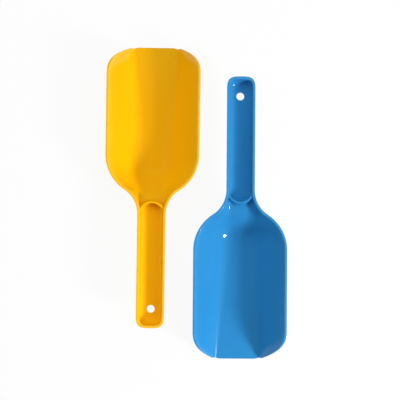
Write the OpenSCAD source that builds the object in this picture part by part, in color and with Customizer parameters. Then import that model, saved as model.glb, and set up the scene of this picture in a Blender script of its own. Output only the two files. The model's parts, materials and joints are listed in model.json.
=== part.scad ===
// Two sand shovels of one design, lying head to tail with their open sides up.
// Each shovel is a single moulding: a trough blade with a flat floor and sloping walls,
// a channel handle, a half-round web that keeps sand out of the handle, and a hang hole.
// All sizes are in millimetres.

/* [Shovel] */
// Length from the tip of the blade to the end of the handle
overall_len = 220; // [195:1:250]
// Height of the rim above the surface that the blade lies on
rim_z = 26; // [20:0.5:32]
// Thickness of the floor
floor_t = 2; // [1.4:0.1:3]
// Width of the flat top of the rim
rim_w = 2; // [1.6:0.1:2.6]

/* [Blade] */
// Width across the outer edges of the rim
blade_w = 72; // [60:1:84]
// Length from the tip to the crown of the web
blade_len = 123.5; // [108:0.5:142]
// Width of the floor at the tip, between its two creases
tip_floor_w = 34; // [28:1:42]
// Radius of the creases at the tip
tip_crease_r = 2; // [1.5:0.5:4]
// Radius of the creases at the back of the blade, where the floor starts to climb
bowl_crease_r = 15; // [6:0.5:18]
// Length over which the walls come down to the tip
corner_len = 26; // [18:1:40]
// Fullness of the tip's corners: 1 is a straight cut, and higher is rounder
corner_fullness = 2.2; // [1:0.1:3]
// Plan radius of the shoulders
shoulder_r = 32; // [26:1:44]
// Plan radius of the hollow between shoulder and handle
neck_r = 22; // [16:1:32]
// Length over which the floor climbs to the web
climb_len = 28; // [22:1:40]

/* [Handle] */
// Width across the outer edges of the rim
handle_w = 21.6; // [18:0.4:28]
// Inside depth of the channel
handle_depth = 8; // [7:0.5:12]
// How far each wall of the channel leans in, from the rim down to the floor
handle_lean = 1; // [0.5:0.1:2]
// Radius of the creases along the channel
handle_crease_r = 5; // [3:0.5:5.5]
// Squareness of the handle's end: 2 is round, and higher is squarer
end_squareness = 3.5; // [2:0.1:5]
// Thickness of the web between blade and handle
web_t = 1.6; // [1.2:0.1:2.4]
// Height of the rim above the top of the web
web_drop = 1; // [0.5:0.1:3]
// How far the blade's side of the web slopes out, from its top down to the channel's floor
web_draft = 1.2; // [0:0.1:3]

/* [Hang hole] */
// Diameter of the hole
hole_d = 6; // [4:0.5:7]
// Distance from the end of the handle to the hole's centre
hole_from_end = 13.5; // [10:0.5:24]

/* [Pair] */
// Gap between each handle and the blade beside it
side_gap = 20.2; // [5:0.1:60]
// How far each blade reaches past the end of the other handle
stagger = 29; // [0:1:60]
// Turn of the yellow shovel, clockwise from above, in degrees
yellow_lean = 0.9; // [0:0.1:3]
// Turn of the blue shovel, clockwise from above, in degrees
blue_lean = 0.4; // [0:0.1:3]

/* [Hidden] */
yellow = [0.98, 0.72, 0.03];
blue = [0.10, 0.42, 0.75];

// Half-widths, the web's outer radius, which leaves its inside flush with the channel's rim,
// and the places along the shovel where its outline changes, as distances from the tip
blade_half = blade_w / 2;
handle_half = handle_w / 2;
web_r = handle_half - rim_w + web_t;
neck_end = blade_len + web_r;
turn = acos(1 - (blade_half - handle_half) / (shoulder_r + neck_r));
shoulder_mid = neck_end - neck_r * sin(turn);
shoulder_start = shoulder_mid - shoulder_r * sin(turn);
climb_start = blade_len - climb_len;
end_centre = overall_len - handle_half;

// Half-widths of the two floors between their creases, and the distance between the centre lines
tip_floor_half = tip_floor_w / 2;
handle_floor_half = handle_half - rim_w - handle_lean;
pair_pitch = blade_half + side_gap + handle_half;

// Inside heights of the blade's floor and of the channel's floor, and the height of the web's top
blade_floor_z = floor_t;
handle_floor_z = rim_z - handle_depth;
web_top = rim_z - web_drop;

// Steps in each crease, in each stretch of the length and round the end of the handle
crease_steps = 7;
corner_steps = 10;
side_steps = 4;
shoulder_steps = 24;
channel_steps = 4;
end_steps = 20;
web_steps = 10;
// Radius of the outer creases at the tip, and width of straight wall left beside each crease there
tip_outer_r = 0.6;
tip_lip = 0.2;
// How late along the blade the floor narrows and the creases open: 1 is evenly
narrowing = 1.4;
// Step of the slopes, and how far a cut runs past the surface that it leaves
small = 0.01;
past = 1;
$fn = 64;

function lerp(a, b, t) = a + (b - a) * t;
function clamp01(t) = max(0, min(1, t));
function reversed(list) = [for (i = [len(list) - 1 : -1 : 0]) list[i]];
function quad(a, b, c, d, other = false) =
    other ? [[a, b, d], [b, c, d]] : [[a, b, c], [a, c, d]];

// Outer half-width of the rim at a distance from the tip, before the tip's corners are cut
function rim_half(s) =
    s <= shoulder_start ? blade_half
    : s <= shoulder_mid ? blade_half - shoulder_r + sqrt(shoulder_r ^ 2 - (s - shoulder_start) ^ 2)
    : s < neck_end ? handle_half + neck_r - sqrt(neck_r ^ 2 - (neck_end - s) ^ 2)
    : handle_half;
function rim_slope(s) = (rim_half(s + small) - rim_half(s - small)) / (2 * small);

// Inside height of the floor: level in the blade, a smooth climb to the web, level in the channel
function climbed(s) = (1 - cos(180 * clamp01((s - climb_start) / climb_len))) / 2;
function floor_z(s) = lerp(blade_floor_z, handle_floor_z, climbed(s));
function floor_slope(s) = (floor_z(s + small) - floor_z(s - small)) / (2 * small);

// The floor narrows from the tip to the channel, faster near the channel
function floor_half(s) = lerp(tip_floor_half, handle_floor_half, clamp01(s / neck_end) ^ narrowing);

// The creases open out from the tip to the back of the blade, and tighten again up the climb
function crease_r(s) =
    s < climb_start ? lerp(tip_crease_r, bowl_crease_r, (s / climb_start) ^ narrowing)
    : lerp(bowl_crease_r, handle_crease_r, climbed(s));

// What shapes one cross-section: [rim half-width, inner half-width, wall angle, floor half-width,
// floor height, floor thickness, crease radius, outer crease radius]
function section(s) =
    let (
        half = rim_half(s),
        inner = half - rim_w * sqrt(1 + rim_slope(s) ^ 2),
        z = floor_z(s),
        f = floor_half(s),
        t = floor_t * sqrt(1 + floor_slope(s) ^ 2)
    )
    [half, inner, atan2(rim_z - z, inner - f), f, z, t, crease_r(s),
        lerp(tip_outer_r, crease_r(s) + floor_t, clamp01(s / corner_len))];

// Crease from the flat of a floor, which would meet the wall at [corner, z], up to the wall
function crease(corner, z, angle, r) =
    [for (i = [0 : crease_steps])
        let (a = angle * i / crease_steps)
        [corner - r * tan(angle / 2) + r * sin(a), z + r - r * cos(a)]];
function inner_crease(c) = crease(c[3], c[4], c[2], c[6]);
function outer_crease(c) =
    crease(c[0] - (rim_z - c[4] + c[5]) / tan(c[2]), c[4] - c[5], c[2], c[7]);

// The rim's two edges come down to the tip, each to its own foot just above a crease
inner_foot = inner_crease(section(0))[crease_steps][0] + tip_lip;
outer_foot = outer_crease(section(0))[crease_steps][0] + tip_lip;
function corner_share(s) = (1 - clamp01(s / corner_len)) ^ corner_fullness;
function rim_edge(s, top, foot, angle) =
    let (q = lerp(top, foot, corner_share(s)))
    [q, rim_z - (top - q) * tan(angle)];

// Half of a cross-section: along the inside from the floor to the rim, and back along the outside
function half_section(s) =
    let (c = section(s))
    concat(
        inner_crease(c),
        [rim_edge(s, c[1], inner_foot, c[2]), rim_edge(s, c[0], outer_foot, c[2])],
        reversed(outer_crease(c))
    );

// Middle of the wall of the same half-section, from the floor to the rim
function middle_section(s) =
    let (c = section(s), inner = inner_crease(c), outer = outer_crease(c))
    concat((inner + outer) / 2, [[(c[0] + c[1]) / 2, rim_z]]);

// How far the handle's end reaches in a direction, as a share of its half-width
function end_reach(a) =
    (abs(cos(a)) ^ end_squareness + abs(sin(a)) ^ end_squareness) ^ (-1 / end_squareness);

// Distances of the cross-sections from the tip, closer together where the outline bends
stations = concat(
    [for (i = [0 : corner_steps - 1]) corner_len * i / corner_steps],
    [for (i = [0 : side_steps - 1]) lerp(corner_len, shoulder_start, i / side_steps)],
    [for (i = [0 : shoulder_steps - 1]) lerp(shoulder_start, neck_end, i / shoulder_steps)],
    [for (i = [0 : channel_steps]) lerp(neck_end, end_centre, i / channel_steps)]
);
last_station = len(stations) - 1;

// Half-sections in order up the right side, round the end of the handle and back down the left
right_side = [for (s = stations) [for (p = half_section(s)) [p[0], -s, p[1]]]];
handle_end = [
    for (i = [1 : end_steps - 1])
        let (a = 180 * i / end_steps, reach = end_reach(a))
        [for (p = half_section(end_centre))
            [p[0] * reach * cos(a), -end_centre - p[0] * reach * sin(a), p[1]]]
];
left_side = [for (i = [last_station : -1 : 0]) [for (p = right_side[i]) [-p[0], p[1], p[2]]]];
ribs = concat(right_side, handle_end, left_side);

// The moulding without its web and hole: ribs joined to each other and to the centre line
module shell() {
    per_rib = len(ribs[0]);
    inner_spine = [for (s = stations) [0, -s, section(s)[4]]];
    outer_spine = [for (s = stations) [0, -s, section(s)[4] - section(s)[5]]];
    points = concat([for (rib = ribs) each rib], inner_spine, outer_spine);
    first_inner = len(ribs) * per_rib;
    first_outer = first_inner + len(stations);
    last_rib = len(ribs) - 1;
    function at(k, j) = k * per_rib + j;
    function station_of(k) = min(k, last_station, last_rib - k);
    // The tip's end faces pair each inner point with the outer point below it
    function end_face(k) = let (top = per_rib - 1) concat(
        quad(first_inner, at(k, 0), at(k, top), first_outer),
        [for (j = [0 : crease_steps])
            each quad(at(k, j), at(k, j + 1), at(k, top - j - 1), at(k, top - j))]
    );
    // Inside and outside faces are split the same way, and so are the two sides of the shovel
    function left(k) = 2 * k >= last_rib;
    function outside(j) = 2 * j >= per_rib - 1;
    skin = [
        for (k = [0 : last_rib - 1], j = [0 : per_rib - 2])
            each quad(at(k, j), at(k, j + 1), at(k + 1, j + 1), at(k + 1, j), left(k) != outside(j))
    ];
    floors = [
        for (k = [0 : last_rib - 1])
            let (a = station_of(k), b = station_of(k + 1), top = per_rib - 1)
            each concat(
                [[first_inner + a, at(k, 0), at(k + 1, 0)]],
                [[first_outer + a, at(k + 1, top), at(k, top)]],
                a == b ? [] : [
                    [first_inner + a, at(k + 1, 0), first_inner + b],
                    [first_outer + a, first_outer + b, at(k + 1, top)]
                ]
            )
    ];
    polyhedron(
        points,
        concat(skin, floors, [for (f = end_face(0)) reversed(f)], end_face(last_rib)),
        convexity = 6
    );
}

// Space inside the neck out to the middle of the walls, where the web is rooted
module neck_space() {
    from = blade_len - web_draft * web_top / (web_top - handle_floor_z) - past;
    rings = [
        for (i = [0 : web_steps])
            let (s = lerp(from, neck_end, i / web_steps), half = middle_section(s))
            concat(
                [for (p = reversed(half)) [-p[0], -s, p[1]]],
                [for (p = half) [p[0], -s, p[1]]]
            )
    ];
    count = len(rings[0]);
    function at(i, j) = i * count + j % count;
    walls = [
        for (i = [0 : web_steps - 1], j = [0 : count - 1])
            each quad(at(i, j), at(i + 1, j), at(i + 1, j + 1), at(i, j + 1))
    ];
    ends = [
        [for (j = [0 : count - 1]) at(0, j)],
        [for (j = [count - 1 : -1 : 0]) at(web_steps, j)]
    ];
    polyhedron([for (ring = rings) each ring], concat(walls, ends), convexity = 4);
}

// Half-round wall across the neck, round the near end of the channel
module web() {
    intersection() {
        translate([0, -neck_end, 0]) difference() {
            cylinder(h = web_top, r1 = web_r + web_draft * web_top / (web_top - handle_floor_z), r2 = web_r);
            translate([0, 0, -past]) cylinder(h = rim_z + 2 * past, r = web_r - web_t);
        }
        neck_space();
    }
}

module hang_hole() {
    translate([0, hole_from_end - overall_len, 0]) cylinder(h = rim_z + past, d = hole_d);
}

// One shovel, with its tip's edge at the origin, its blade towards +Y and its open side up
module shovel() {
    difference() {
        union() {
            shell();
            web();
        }
        hang_hole();
    }
}

// Places a shovel on the left of the pair, with its blade away from the reader
module on_the_left(lean) {
    translate([-pair_pitch / 2, stagger / 2, 0])
        rotate([0, 0, -lean])
            translate([0, overall_len / 2, 0])
                children();
}

module yellow_shovel() {
    color(yellow) on_the_left(yellow_lean) shovel();
}

module blue_shovel() {
    color(blue) rotate([0, 0, 180]) on_the_left(blue_lean) shovel();
}

yellow_shovel();
blue_shovel();
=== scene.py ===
import json

import bmesh
import bpy
import numpy as np
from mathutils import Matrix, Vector


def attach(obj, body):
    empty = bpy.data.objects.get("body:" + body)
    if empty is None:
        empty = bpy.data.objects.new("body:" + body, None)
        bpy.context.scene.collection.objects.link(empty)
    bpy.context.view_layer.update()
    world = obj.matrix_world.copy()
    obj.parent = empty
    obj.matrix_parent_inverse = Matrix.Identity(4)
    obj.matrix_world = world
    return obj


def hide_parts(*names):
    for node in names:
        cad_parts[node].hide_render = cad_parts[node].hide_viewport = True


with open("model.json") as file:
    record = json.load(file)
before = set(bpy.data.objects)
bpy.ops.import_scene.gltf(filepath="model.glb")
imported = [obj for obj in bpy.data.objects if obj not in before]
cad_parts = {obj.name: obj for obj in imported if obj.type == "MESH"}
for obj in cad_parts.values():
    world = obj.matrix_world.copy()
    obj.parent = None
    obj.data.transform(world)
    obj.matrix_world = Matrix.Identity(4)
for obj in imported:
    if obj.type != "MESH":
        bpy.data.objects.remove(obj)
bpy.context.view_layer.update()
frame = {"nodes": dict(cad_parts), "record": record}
mm = 0.001
print("frame loaded:", ", ".join(sorted(frame["nodes"])))


# Sizes of the mould that both shovels come from, in millimetres. The last line rounds its edges.
shovel = {
    "length": 220, "rimHeight": 26, "floor": 2, "rim": 2,
    "bladeWidth": 72, "bladeLength": 123.5, "tipFloor": 34, "tipCrease": 2, "bowlCrease": 20,
    "tipOuterCrease": 0.6, "tipLip": 0.2,
    "cornerLength": 26, "cornerFullness": 2.2, "shoulderRadius": 32, "neckRadius": 22,
    "climb": 28, "narrowing": 1.4,
    "handleWidth": 21.6, "handleDepth": 8, "handleLean": 1, "handleCrease": 5, "endSquareness": 3.5,
    "webThickness": 1.6, "webDrop": 1, "webDraft": 1.2, "hole": 6, "holeFromEnd": 13.5,
    "rimInside": 0.6, "rimOutside": 0.3, "tipRound": 0.9, "tipBow": 1.2, "webRound": 0.5, "webFoot": 1.2,
    "holeRound": 0.35,
}

# Places along a shovel are distances from its tip
bladeHalf = shovel["bladeWidth"] / 2
handleHalf = shovel["handleWidth"] / 2
handleFloorHalf = handleHalf - shovel["rim"] - shovel["handleLean"]
handleFloorZ = shovel["rimHeight"] - shovel["handleDepth"]
webRadius = handleHalf - shovel["rim"] + shovel["webThickness"]
neckEnd = shovel["bladeLength"] + webRadius
shoulderTurn = np.arccos(1 - (bladeHalf - handleHalf) / (shovel["shoulderRadius"] + shovel["neckRadius"]))
shoulderMid = neckEnd - shovel["neckRadius"] * np.sin(shoulderTurn)
shoulderStart = shoulderMid - shovel["shoulderRadius"] * np.sin(shoulderTurn)
climbStart = shovel["bladeLength"] - shovel["climb"]
endCentre = shovel["length"] - handleHalf
holeAt = shovel["length"] - shovel["holeFromEnd"]
holeRadius = shovel["hole"] / 2
holeLip = holeRadius + shovel["holeRound"]


def lerp(a, b, t):
    return a + (b - a) * t


def smooth(t):
    # Eases from 0 to 1 with level ends
    t = np.clip(t, 0, 1)
    return t * t * (3 - 2 * t)


def rimHalf(s):
    # Straight blade, an arc in at the shoulder, an arc out at the neck, straight handle
    shoulder = shovel["shoulderRadius"]
    neck = shovel["neckRadius"]
    arcIn = bladeHalf - shoulder + np.sqrt(np.maximum(shoulder ** 2 - (s - shoulderStart) ** 2, 0))
    arcOut = handleHalf + neck - np.sqrt(np.maximum(neck ** 2 - (neckEnd - s) ** 2, 0))
    places = [s <= shoulderStart, s <= shoulderMid, s < neckEnd]
    return np.select(places, [bladeHalf + 0 * s, arcIn, arcOut], handleHalf)


def climbed(s):
    # Half a cosine wave from 0 in the blade to 1 in the handle
    return (1 - np.cos(np.pi * np.clip((s - climbStart) / shovel["climb"], 0, 1))) / 2


def floorZ(s):
    return lerp(shovel["floor"], handleFloorZ, climbed(s))


def slope(curve, s, step=0.01):
    return (curve(s + step) - curve(s - step)) / (2 * step)


def section(s):
    # What shapes the cross-section at s: the rim, the lean of the wall, the floor and its creases
    half = rimHalf(s)
    rimWide = shovel["rim"] * np.sqrt(1 + slope(rimHalf, s) ** 2)
    narrow = np.clip(s / neckEnd, 0, 1) ** shovel["narrowing"]
    floorHalf = lerp(shovel["tipFloor"] / 2, handleFloorHalf, narrow)
    opening = np.clip(s / climbStart, 0, 1)
    crease = np.where(
        s < climbStart,
        lerp(shovel["tipCrease"], shovel["bowlCrease"], opening),
        lerp(shovel["bowlCrease"], shovel["handleCrease"], climbed(s)),
    )
    lean = np.arctan2(shovel["rimHeight"] - floorZ(s), half - rimWide - floorHalf)
    thick = shovel["floor"] * np.sqrt(1 + slope(floorZ, s) ** 2)
    return half, rimWide, floorHalf, crease, lean, thick


def faces(s, outside):
    # One face's floor and crease: where floor and wall would meet, the floor's height, the crease's radius
    half, rimWide, floorHalf, crease, lean, thick = section(s)
    if not outside:
        return half - rimWide, floorHalf, floorZ(s), crease, lean
    floorHalf = half - (shovel["rimHeight"] - floorZ(s) + thick) / np.tan(lean)
    away = np.clip(s / shovel["cornerLength"], 0, 1)
    crease = lerp(shovel["tipOuterCrease"], crease + shovel["floor"], away)
    return half, floorHalf, floorZ(s) - thick, crease, lean


def tipFoot(outside):
    # Where an edge of the rim ends at the tip, just outside the crease
    _, floorHalf, _, crease, lean = faces(np.zeros(1), outside)
    return float((floorHalf + crease * np.tan(lean / 2) * np.cos(lean))[0]) + shovel["tipLip"]


tipFeet = {False: tipFoot(False), True: tipFoot(True)}


def rimEdge(s, outside):
    # An edge of the rim, level along the blade and down the wall's own slope to its foot at the tip
    half, _, _, _, lean = faces(s, outside)
    cutShare = np.clip(1 - s / shovel["cornerLength"], 0, 1) ** shovel["cornerFullness"]
    edge = lerp(half, tipFeet[outside], cutShare)
    return edge, shovel["rimHeight"] - (half - edge) * np.tan(lean)


# Points along each stretch of the surface
steps = {
    "floor": 10, "crease": 14, "wall": 14, "round": 6, "lip": 6, "nose": 9, "corner": 37, "side": 25,
    "shoulder": 48, "handle": 56, "holeFront": 17, "holeBack": 31,
}
roundShare = 0.8  # the most of a wall's length that its rounded edge takes
stretch = np.repeat([0, 1, 2, 3], [steps["floor"], steps["crease"], steps["wall"], steps["round"] + 1])
along = np.concatenate([
    np.arange(steps["floor"]) / steps["floor"],
    np.arange(steps["crease"]) / steps["crease"],
    np.arange(steps["wall"]) / steps["wall"],
    np.linspace(0, 1, steps["round"] + 1),
])


def side(s, start, outside):
    # One face of the moulding across the shovel: level floor from start, an arc of the crease's radius,
    # a straight wall, and an arc that turns the wall into the level rim
    _, floorHalf, z, crease, lean = faces(s, outside)
    innerEdge, innerZ = rimEdge(s, False)
    outerEdge, outerZ = rimEdge(s, True)
    tilt = np.arctan2(innerZ - outerZ, outerEdge - innerEdge)  # the rim falls outwards at the tip
    if outside:
        edge, edgeZ, radius = outerEdge, outerZ, shovel["rimOutside"]
        turn = np.pi - lean - tilt
    else:
        edge, edgeZ, radius = innerEdge, innerZ, shovel["rimInside"]
        turn = -lean - tilt
    flatEnd = floorHalf - crease * np.tan(lean / 2)
    creaseQ = flatEnd + crease * np.sin(lean)
    creaseZ = z + crease * (1 - np.cos(lean))
    wallLength = (edgeZ - creaseZ) / np.sin(lean)
    bend = np.tan(np.abs(turn) / 2)
    radius = np.minimum(radius, roundShare * wallLength / bend)
    roundQ = edge - radius * bend * np.cos(lean)
    roundZ = edgeZ - radius * bend * np.sin(lean)
    swing = np.sign(turn) * radius
    angle = lean + turn * along
    q = np.choose(stretch, [
        lerp(start, flatEnd, along),
        flatEnd + crease * np.sin(lean * along),
        lerp(creaseQ, roundQ, along),
        roundQ + swing * (np.sin(angle) - np.sin(lean)),
    ])
    height = np.choose(stretch, [
        z,
        z + crease * (1 - np.cos(lean * along)),
        lerp(creaseZ, roundZ, along),
        roundZ + swing * (np.cos(lean) - np.cos(angle)),
    ])
    return q, height


quarter = np.linspace(0, np.pi / 2, steps["lip"])
webHeight = shovel["rimHeight"] - shovel["webDrop"] - handleFloorZ


def webFace(draft):
    # How far each point of a face lies outside its top edge: a hollow foot, then a rounded top
    foot = draft + shovel["webFoot"] * (1 - np.sin(quarter))
    return np.concatenate([foot, shovel["webRound"] * (np.cos(quarter) - 1)])


# Radii across the web and its share of full height there, up the blade's side and down the channel's
webRise = np.concatenate([
    shovel["webFoot"] * (1 - np.cos(quarter)),
    webHeight - shovel["webRound"] * (1 - np.sin(quarter)),
]) / webHeight
webRadii = np.concatenate([
    webRadius + webFace(shovel["webDraft"]),
    webRadius - shovel["webThickness"] - webFace(0)[::-1],
])
webShare = np.concatenate([webRise, webRise[::-1]])
webFrom = neckEnd - webRadii[0]
webTo = neckEnd - webRadii[-1]

# How the lines across the shovel bend, in millimetres and shares, and how often they are worked out again
lines = {
    "bladeFade": 30, "handleFade": 14, "reach": 9, "reachShare": 0.98, "bowFade": 12, "bowFrom": 13.2,
    "cornerCrowding": 1.3, "settle": 30, "halvings": 50,
}


def stationLine(s, q):
    # Lines across the shovel: arcs round the web's centre near the neck, straight elsewhere,
    # and bowed at the tip, where the corners fall back
    radius = np.clip(neckEnd - s, webRadii[-1], webRadii[0])
    reach = np.minimum(q, np.minimum(lines["reachShare"] * radius, lines["reach"]))
    fade = smooth((s - webFrom) / lines["bladeFade"] + 1) * smooth((webTo - s) / lines["handleFade"] + 1)
    bow = np.clip((q - lines["bowFrom"]) / (tipFeet[True] - lines["bowFrom"]), 0, 1) ** 2
    bow = bow * np.clip(1 - s / lines["bowFade"], 0, 1) ** 2
    return s + fade * (radius - np.sqrt(radius ** 2 - reach ** 2)) + shovel["tipBow"] * bow


def straightRibs(station, start, outside):
    # The line's place depends on the width and the width on the place, so the two are settled by repeating
    s = station[:, None] + 0 * along
    for _ in range(lines["settle"]):
        q, z = side(s, start[:, None], outside)
        s = stationLine(station[:, None], q)
    return q, s, z


def fanRibs(angle, outside):
    # Beyond the hole the ribs spread from its centre. Each point of the handle's section lies where the
    # rounded end, |x|^n + |s - centre|^n = q^n, crosses its rib, found by halving.
    q, z = side(endCentre + 0 * along[None, :], 0, outside)
    n = shovel["endSquareness"]
    low = np.zeros((len(angle), len(along)))
    high = low + 2 * handleHalf
    for _ in range(lines["halvings"]):
        middle = (low + high) / 2
        x = middle * np.sin(angle)[:, None]
        past = np.maximum(holeAt - middle * np.cos(angle)[:, None] - endCentre, 0)
        short = (x ** n + past ** n) ** (1 / n) < q
        low = np.where(short, middle, low)
        high = np.where(short, high, middle)
    flatEnd = low[:, steps["floor"]][:, None]
    reach = np.where(stretch == 0, lerp(holeLip, flatEnd, along), low)
    return reach * np.sin(angle)[:, None], holeAt - reach * np.cos(angle)[:, None], z + 0 * reach


def shovelGrid():
    # Half-ribs from the centre line over the rim and back underneath: up the right side from the tip,
    # round the end of the handle, and down the left side
    tip = shovel["tipRound"]
    nose = np.linspace(0, np.pi / 2, steps["nose"])
    crowded = np.linspace(0, 1, steps["corner"])[1:] ** lines["cornerCrowding"]
    corner = lerp(tip, shovel["cornerLength"], crowded)
    sides = np.linspace(shovel["cornerLength"], shoulderStart, steps["side"])[1:]
    shoulders = np.linspace(shoulderStart, webFrom, steps["shoulder"])[1:-1]
    handle = np.linspace(webTo, holeAt - holeLip, steps["handle"])[1:]
    holeFront = np.linspace(0, np.pi / 2, steps["holeFront"])[1:]
    holeBack = np.linspace(np.pi / 2, np.pi, steps["holeBack"])[1:]
    station = np.concatenate([
        tip * (1 - np.cos(nose)), corner, sides, shoulders, neckEnd - webRadii, handle,
        holeAt - holeLip * np.cos(holeFront),
    ])
    start = np.zeros(len(station))
    start[-len(holeFront):] = holeLip * np.sin(holeFront)
    thin = np.ones(len(station))
    thin[:len(nose)] = np.sin(nose)
    lift = np.zeros(len(station))
    first = len(nose) + len(corner) + len(sides) + len(shoulders)
    lift[first:first + len(webShare)] = webShare

    skins = []
    for outside in (False, True):
        q, s, z = straightRibs(station, start, outside)
        if not outside:  # the web lifts the inside of the neck towards its own top
            z = z + np.maximum(handleFloorZ + webHeight - z, 0) * lift[:, None]
        skins.append(np.stack([q, s, z], -1))
    inner, outer = skins
    middle = (inner + outer) / 2  # at the tip the two faces close in a half-round
    inner = lerp(middle, inner, thin[:, None, None])
    outer = lerp(middle, outer, thin[:, None, None])
    inner = np.concatenate([inner, np.stack(fanRibs(holeBack, False), -1)])
    outer = np.concatenate([outer, np.stack(fanRibs(holeBack, True), -1)])
    right = np.concatenate([inner, outer[:, ::-1]], axis=1)
    left = right[-2::-1] * [-1, 1, 1]
    return np.concatenate([right, left]), np.concatenate([[0], holeFront, holeBack])


def holeGrid(angle):
    # The hole turned about its centre: rounded lip, bore, rounded lip
    lip = shovel["holeRound"]
    low = handleFloorZ - shovel["floor"]
    radius = holeRadius + lip * np.concatenate([1 - np.sin(quarter), 1 - np.cos(quarter)])
    z = np.concatenate([handleFloorZ - lip * (1 - np.cos(quarter)), low + lip * (1 - np.sin(quarter))])
    angle = np.concatenate([angle, 2 * np.pi - angle[-2::-1]])[:, None]
    return np.stack([radius * np.sin(angle), holeAt - radius * np.cos(angle), z + 0 * angle], -1)


def gridFaces(grid, first, flip):
    # Four-sided faces between neighbouring rows and columns, with first as the grid's first point
    rows, columns = grid.shape[:2]
    r, c = np.meshgrid(np.arange(rows - 1), np.arange(columns - 1), indexing="ij")
    a = first + r * columns + c
    quads = np.stack([a, a + 1, a + columns + 1, a + columns], -1).reshape(-1, 4)
    return quads[:, ::-1] if flip else quads


edgeSpread = 12  # how steeply the paler edge fades down the wall
mergeGap = 0.0005 * mm


def makeShovel(name, mountHole, mountBelly):
    # The mounts on the frame give the shovel's place and direction
    mounts = {m["name"]: np.array(m["pos_m"]) for m in frame["record"]["mounts"]}
    hole = mounts[mountHole]
    ahead = (mounts[mountBelly] - hole) * [1, 1, 0]
    ahead = ahead / np.linalg.norm(ahead)
    across = np.array([ahead[1], -ahead[0], 0])
    skin, angle = shovelGrid()
    bore = holeGrid(angle)
    points = np.concatenate([skin.reshape(-1, 3), bore.reshape(-1, 3)])
    x, s, z = points.T[:, :, None] * mm
    place = hole * [1, 1, 0] + across * x + ahead * (holeAt * mm - s) + np.array([0, 0, 1]) * z
    quads = np.concatenate([gridFaces(skin, 0, False), gridFaces(bore, skin.shape[0] * skin.shape[1], True)])
    rimShare = np.where(stretch == 3, 1.0, np.where(stretch == 2, along ** edgeSpread, 0))
    edge = np.concatenate([np.tile(np.concatenate([rimShare, rimShare[::-1]]), skin.shape[0]),
                           np.ones(bore.shape[0] * bore.shape[1])])
    mesh = bpy.data.meshes.new(name)
    mesh.from_pydata(place.tolist(), [], quads.tolist())
    mesh.attributes.new("rimEdge", "FLOAT", "POINT").data.foreach_set("value", edge.astype(np.float32))
    shell = bmesh.new()
    shell.from_mesh(mesh)
    bmesh.ops.remove_doubles(shell, verts=shell.verts, dist=mergeGap)
    if shell.calc_volume(signed=True) < 0:
        bmesh.ops.reverse_faces(shell, faces=shell.faces)
    volume = shell.calc_volume(signed=True) / mm ** 3
    openEdges = sum(1 for e in shell.edges if not e.is_manifold)
    shell.to_mesh(mesh)
    shell.free()
    mesh.shade_smooth()
    piece = bpy.data.objects.new(name, mesh)
    bpy.context.scene.collection.objects.link(piece)
    print(f"{name}: {len(mesh.vertices)} points, {volume:.0f} mm3, {openEdges} open edges")
    return piece


def addNode(tree, kind, values=None, **settings):
    # A node with its settings, and values for its inputs by name or number
    node = tree.nodes.new(kind)
    for key, value in settings.items():
        setattr(node, key, value)
    for key, value in (values or {}).items():
        if isinstance(value, bpy.types.NodeSocket):
            tree.links.new(value, node.inputs[key])
        else:
            node.inputs[key].default_value = value
    return node


# The plastic's patterns: sizes as noise scales per metre, then how strongly each one shows
plastic = {
    "flowStretch": (1, 0.3, 1), "flowScale": 45, "flowDetail": 3, "flowTwist": 0.6,
    "flowFrom": 0.3, "flowTo": 0.7,
    "grainScale": 1300, "grainDetail": 2, "cloudScale": 160, "cloudDetail": 3,
    "scuffStretch": (1, 0.06, 1), "scuffTurn": (0, 0, 0.25), "scuffScale": 900, "scuffDetail": 1,
    "scuffFrom": 0.68, "scuffTo": 0.76,
    "cloudRough": 0.06, "scuffRough": 0.2, "scuffHeight": -0.5, "ior": 1.49,
}
colourA, colourB, colourOut = 6, 7, 2  # a Mix node's sockets for colours


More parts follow.
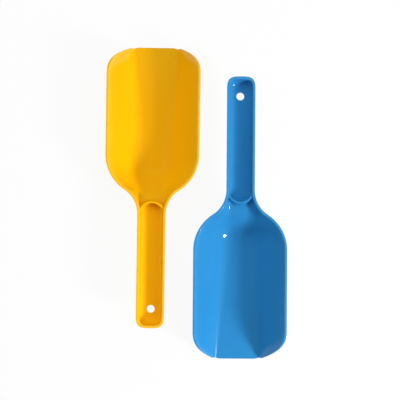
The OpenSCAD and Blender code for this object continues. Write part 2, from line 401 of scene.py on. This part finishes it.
def makePlasticGroup():
    # Moulded plastic: pigment that flowed along the mould, a fine grain, a few scuffs and a paler rim
    tree = bpy.data.node_groups.new("mouldedPlastic", "ShaderNodeTree")
    inputs = {
        "Vector": "NodeSocketVector", "Colour": "NodeSocketColor", "Flow Colour": "NodeSocketColor",
        "Edge Colour": "NodeSocketColor", "Edge": "NodeSocketFloat", "Flow": "NodeSocketFloat",
        "Scuffs": "NodeSocketFloat", "Roughness": "NodeSocketFloat",
    }
    outputs = {"Colour": "NodeSocketColor", "Roughness": "NodeSocketFloat", "Height": "NodeSocketFloat"}
    for name, kind in inputs.items():
        tree.interface.new_socket(name, in_out="INPUT", socket_type=kind)
    for name, kind in outputs.items():
        tree.interface.new_socket(name, in_out="OUTPUT", socket_type=kind)
    given = addNode(tree, "NodeGroupInput").outputs
    flowSpace = addNode(tree, "ShaderNodeMapping", {
        "Vector": given["Vector"], "Scale": plastic["flowStretch"],
    })
    flow = addNode(tree, "ShaderNodeTexNoise", {
        "Vector": flowSpace.outputs[0], "Scale": plastic["flowScale"], "Detail": plastic["flowDetail"],
        "Distortion": plastic["flowTwist"],
    })
    flowMask = addNode(tree, "ShaderNodeMapRange", {
        "Value": flow.outputs[0], "From Min": plastic["flowFrom"], "From Max": plastic["flowTo"],
        "To Max": given["Flow"],
    })
    grain = addNode(tree, "ShaderNodeTexNoise", {
        "Vector": given["Vector"], "Scale": plastic["grainScale"], "Detail": plastic["grainDetail"],
    })
    cloud = addNode(tree, "ShaderNodeTexNoise", {
        "Vector": given["Vector"], "Scale": plastic["cloudScale"], "Detail": plastic["cloudDetail"],
    })
    scuffSpace = addNode(tree, "ShaderNodeMapping", {
        "Vector": given["Vector"], "Scale": plastic["scuffStretch"], "Rotation": plastic["scuffTurn"],
    })
    scuff = addNode(tree, "ShaderNodeTexNoise", {
        "Vector": scuffSpace.outputs[0], "Scale": plastic["scuffScale"], "Detail": plastic["scuffDetail"],
    })
    scuffMask = addNode(tree, "ShaderNodeMapRange", {
        "Value": scuff.outputs[0], "From Min": plastic["scuffFrom"], "From Max": plastic["scuffTo"],
        "To Max": given["Scuffs"],
    })
    edgeMask = addNode(tree, "ShaderNodeMath", {0: given["Edge"], 1: cloud.outputs[0]}, operation="MULTIPLY")
    body = addNode(tree, "ShaderNodeMix", {
        "Factor": flowMask.outputs[0], colourA: given["Colour"], colourB: given["Flow Colour"],
    }, data_type="RGBA")
    worn = addNode(tree, "ShaderNodeMix", {
        "Factor": edgeMask.outputs[0], colourA: body.outputs[colourOut], colourB: given["Edge Colour"],
    }, data_type="RGBA")
    uneven = addNode(tree, "ShaderNodeMath", {
        0: cloud.outputs[0], 1: plastic["cloudRough"], 2: given["Roughness"],
    }, operation="MULTIPLY_ADD")
    rough = addNode(tree, "ShaderNodeMath", {
        0: scuffMask.outputs[0], 1: plastic["scuffRough"], 2: uneven.outputs[0],
    }, operation="MULTIPLY_ADD")
    height = addNode(tree, "ShaderNodeMath", {
        0: scuffMask.outputs[0], 1: plastic["scuffHeight"], 2: grain.outputs[0],
    }, operation="MULTIPLY_ADD")
    addNode(tree, "NodeGroupOutput", {"Colour": worn.outputs[colourOut], "Roughness": rough.outputs[0],
                                      "Height": height.outputs[0]})
    return tree


def srgb(r, g, b):
    # A colour as it looks on screen, in 0 to 255, to the linear values that shaders take
    c = np.array([r, g, b]) / 255
    return (*np.where(c <= 0.04045, c / 12.92, ((c + 0.055) / 1.055) ** 2.4), 1.0)


def makePlastic(name, look):
    material = bpy.data.materials.new(name)
    material.use_nodes = True
    tree = material.node_tree
    tree.nodes.clear()
    coords = addNode(tree, "ShaderNodeTexCoord")
    edge = addNode(tree, "ShaderNodeAttribute", attribute_name="rimEdge")
    finish = addNode(tree, "ShaderNodeGroup", node_tree=plasticGroup)
    tree.links.new(coords.outputs["Object"], finish.inputs["Vector"])
    tree.links.new(edge.outputs["Fac"], finish.inputs["Edge"])
    for key in ("Colour", "Flow Colour", "Edge Colour", "Flow", "Scuffs", "Roughness"):
        finish.inputs[key].default_value = look[key]
    bump = addNode(tree, "ShaderNodeBump", {"Height": finish.outputs["Height"], "Strength": look["grain"],
                                            "Distance": look["grainDepth"]})
    shader = addNode(tree, "ShaderNodeBsdfPrincipled", {
        "Base Color": finish.outputs["Colour"], "Roughness": finish.outputs["Roughness"],
        "Normal": bump.outputs[0], "IOR": plastic["ior"], "Specular IOR Level": look["gloss"],
    })
    addNode(tree, "ShaderNodeOutputMaterial", {"Surface": shader.outputs[0]})
    return material


plasticGroup = makePlasticGroup()

yellowShovel = {
    "Colour": srgb(255, 191, 10), "Flow Colour": srgb(252, 184, 8), "Edge Colour": srgb(255, 206, 66),
    "Flow": 0.6, "Scuffs": 0.35, "Roughness": 0.07, "grain": 0.12, "grainDepth": 0.02 * mm, "gloss": 0.28,
}
yellowPiece = makeShovel("yellow_moulding", "yellow_hang_hole", "yellow_belly")
yellowPiece.data.materials.append(makePlastic("yellowPlastic", yellowShovel))
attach(yellowPiece, "yellow_shovel")
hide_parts("yellow_shovel")

blueShovel = {
    "Colour": srgb(50, 142, 202), "Flow Colour": srgb(42, 135, 198), "Edge Colour": srgb(70, 153, 212),
    "Flow": 0.6, "Scuffs": 0.35, "Roughness": 0.07, "grain": 0.12, "grainDepth": 0.02 * mm, "gloss": 0.28,
}
bluePiece = makeShovel("blue_moulding", "blue_hang_hole", "blue_belly")
bluePiece.data.materials.append(makePlastic("bluePlastic", blueShovel))
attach(bluePiece, "blue_shovel")
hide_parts("blue_shovel")
print("shovels placed and finished")


# The camera looks straight down from 0.43 m above the rims
cameraView = {"x": -4.7, "y": -13.4, "aboveRim": 430, "lens": 51.1, "shiftX": 0.025, "shiftY": 0.05,
              "nearest": 10}
cameraData = bpy.data.cameras.new("camera")
cameraData.lens = cameraView["lens"]
cameraData.shift_x = cameraView["shiftX"]
cameraData.shift_y = cameraView["shiftY"]
cameraData.clip_start = cameraView["nearest"] * mm
camera = bpy.data.objects.new("camera", cameraData)
cameraHeight = shovel["rimHeight"] + cameraView["aboveRim"]
camera.location = Vector((cameraView["x"], cameraView["y"], cameraHeight)) * mm
bpy.context.scene.collection.objects.link(camera)
bpy.context.scene.camera = camera

# Soft boxes by compass angle from +X and height above the table in degrees, with sizes in metres and power
# in watts. Only a mirrored box shows in the gloss.
studio = {
    "key": {"angle": -33, "height": 27, "distance": 1, "size": 0.2, "power": 8.7, "mirrored": True},
    "fill": {"angle": 175, "height": 45, "distance": 1.7, "size": 1.9, "power": 10.4, "mirrored": False},
    "back": {"angle": 90, "height": 50, "distance": 1.7, "size": 1.5, "power": 10.8, "mirrored": False},
    "high": {"angle": 0, "height": 52, "distance": 1.7, "size": 1.1, "power": 7.7, "mirrored": False},
    "room": 0.05, "sky": 0.93,
    "floorSize": 4, "floorColour": (0.9, 0.9, 0.9, 1), "floorGlow": 0.92, "floorDrop": 0.05,
}


def addSoftBox(name):
    box = studio[name]
    angle, height = np.radians([box["angle"], box["height"]])
    towards = Vector((np.cos(angle) * np.cos(height), np.sin(angle) * np.cos(height), np.sin(height)))
    data = bpy.data.lights.new(name, "AREA")
    data.size = box["size"]
    data.energy = box["power"]
    light = bpy.data.objects.new(name, data)
    light.location = towards * box["distance"]
    light.rotation_euler = (-towards).to_track_quat("-Z", "Y").to_euler()
    light.visible_glossy = box["mirrored"]
    bpy.context.scene.collection.objects.link(light)


for name in ("key", "fill", "back", "high"):
    addSoftBox(name)

# Pale behind the object, a dim room for the light that falls on it
room = bpy.data.worlds.new("room")
room.use_nodes = True
room.node_tree.nodes.clear()
seen = addNode(room.node_tree, "ShaderNodeLightPath")
level = addNode(room.node_tree, "ShaderNodeMapRange", {"Value": seen.outputs["Is Camera Ray"],
                                                       "To Min": studio["room"], "To Max": studio["sky"]})
sky = addNode(room.node_tree, "ShaderNodeBackground", {"Color": (1, 1, 1, 1), "Strength": level.outputs[0]})
addNode(room.node_tree, "ShaderNodeOutputWorld", {"Surface": sky.outputs[0]})
bpy.context.scene.world = room


def makeFloor():
    # A white sheet that glows to the camera and in the gloss but still takes a faint shadow
    half = studio["floorSize"] / 2
    corners = np.array([[-1, -1, 0], [1, -1, 0], [1, 1, 0], [-1, 1, 0]]) * half
    mesh = bpy.data.meshes.new("floor")
    mesh.from_pydata(corners.tolist(), [], [(0, 1, 2, 3)])
    material = bpy.data.materials.new("whiteFloor")
    material.use_nodes = True
    tree = material.node_tree
    tree.nodes.clear()
    path = addNode(tree, "ShaderNodeLightPath")
    paper = addNode(tree, "ShaderNodeBsdfDiffuse", {"Color": studio["floorColour"]})
    glow = addNode(tree, "ShaderNodeEmission", {"Color": (1, 1, 1, 1), "Strength": 1})
    either = addNode(tree, "ShaderNodeMath", {
        0: path.outputs["Is Camera Ray"], 1: path.outputs["Is Glossy Ray"],
    }, operation="MAXIMUM")
    share = addNode(tree, "ShaderNodeMath", {
        0: either.outputs[0], 1: studio["floorGlow"],
    }, operation="MULTIPLY")
    blend = addNode(tree, "ShaderNodeMixShader", {
        0: share.outputs[0], 1: paper.outputs[0], 2: glow.outputs[0],
    })
    addNode(tree, "ShaderNodeOutputMaterial", {"Surface": blend.outputs[0]})
    material.cycles.emission_sampling = "NONE"  # the glow is only seen, it lights nothing
    mesh.materials.append(material)
    floor = bpy.data.objects.new("floor", mesh)
    floor.location.z = -studio["floorDrop"] * mm
    bpy.context.scene.collection.objects.link(floor)


makeFloor()
bpy.context.scene.view_settings.view_transform = "Standard"
print("camera, light and floor placed")
